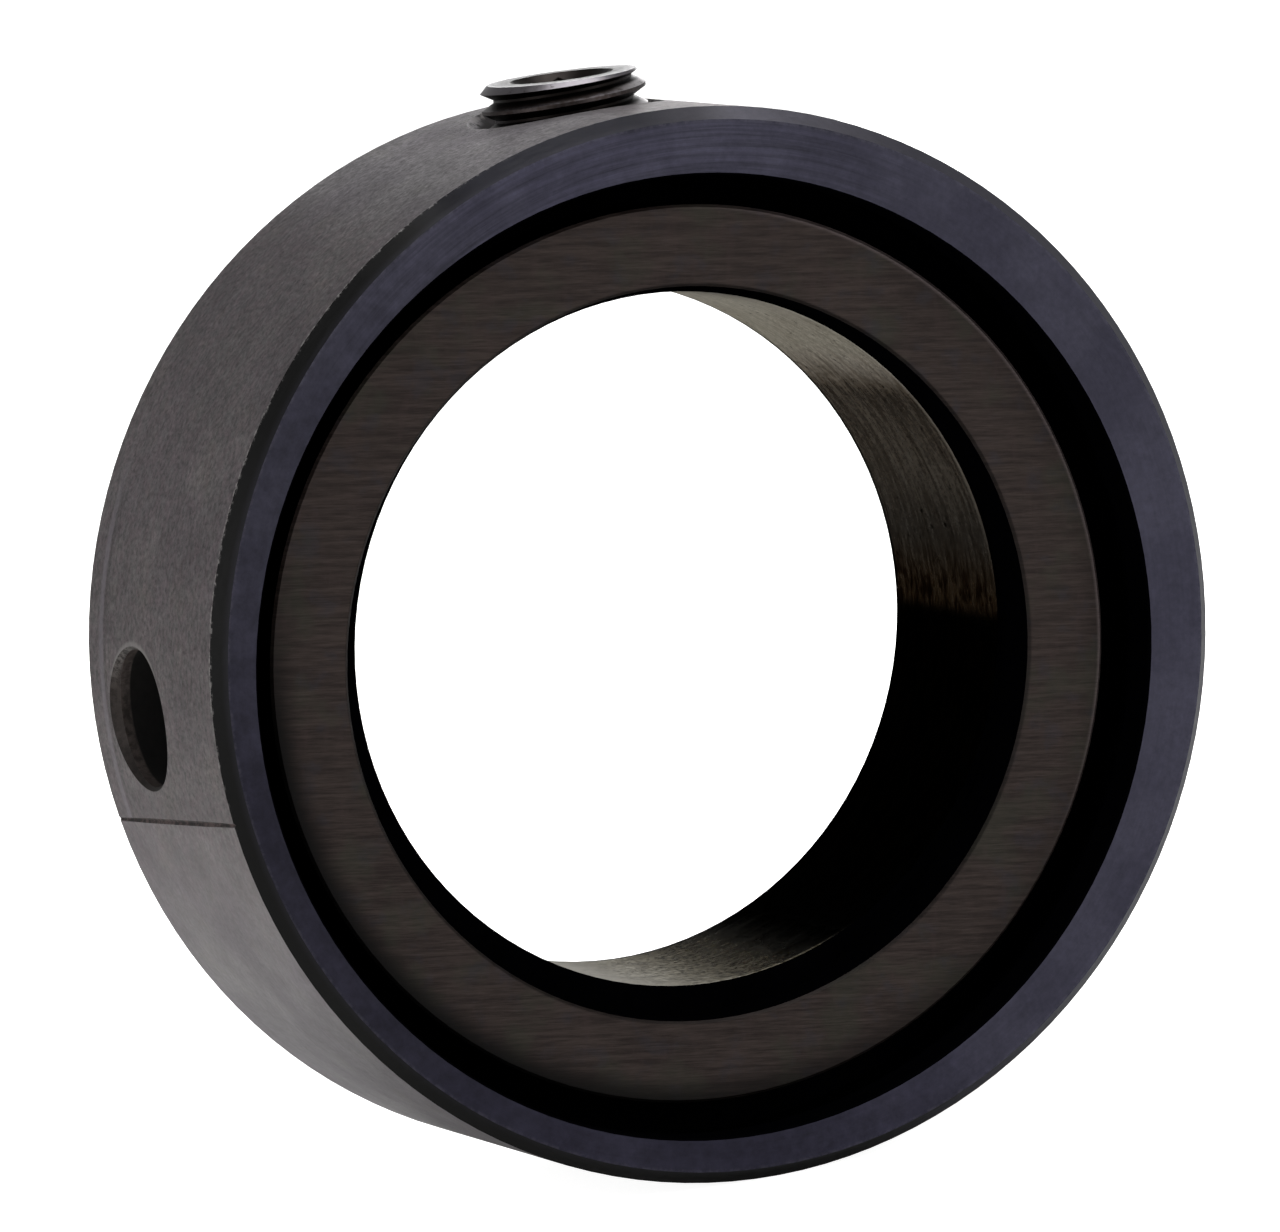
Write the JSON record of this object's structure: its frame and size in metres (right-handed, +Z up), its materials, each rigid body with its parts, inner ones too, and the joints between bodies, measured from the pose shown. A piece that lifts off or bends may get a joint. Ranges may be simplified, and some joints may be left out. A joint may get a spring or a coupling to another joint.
{
  "type": "eccentric locking collar",
  "caption": "Steel shaft locking collar for a bearing: a ring with an offset cam recess in its front face, a radial socket set screw, and a blind drift hole for turning it tight.",
  "frame": {"origin": "on the bore axis, half way along the collar's width", "axes": "+Y along the bore axis from the recessed front face to the plain back face, +Z up along the set screw's axis towards its socket, and the drift hole opens towards -X"},
  "size_m": [0.0384, 0.0136, 0.0395],
  "materials": {
    "ring_steel": "turned steel with a black oxide finish, satin, the raised land brushed",
    "screw_steel": "black oxide alloy steel with worn thread crests"
  },
  "bodies": {
    "collar": {"collar_ring": "ring_steel"},
    "set_screw": {"set_screw": "screw_steel"}
  },
  "joints": [
    {"name": "set_screw_travel", "type": "slide", "parent": "collar", "child": "set_screw", "axis": [0, 0, 1], "range_m": [-0.00195, 0.0015]}
  ]
}
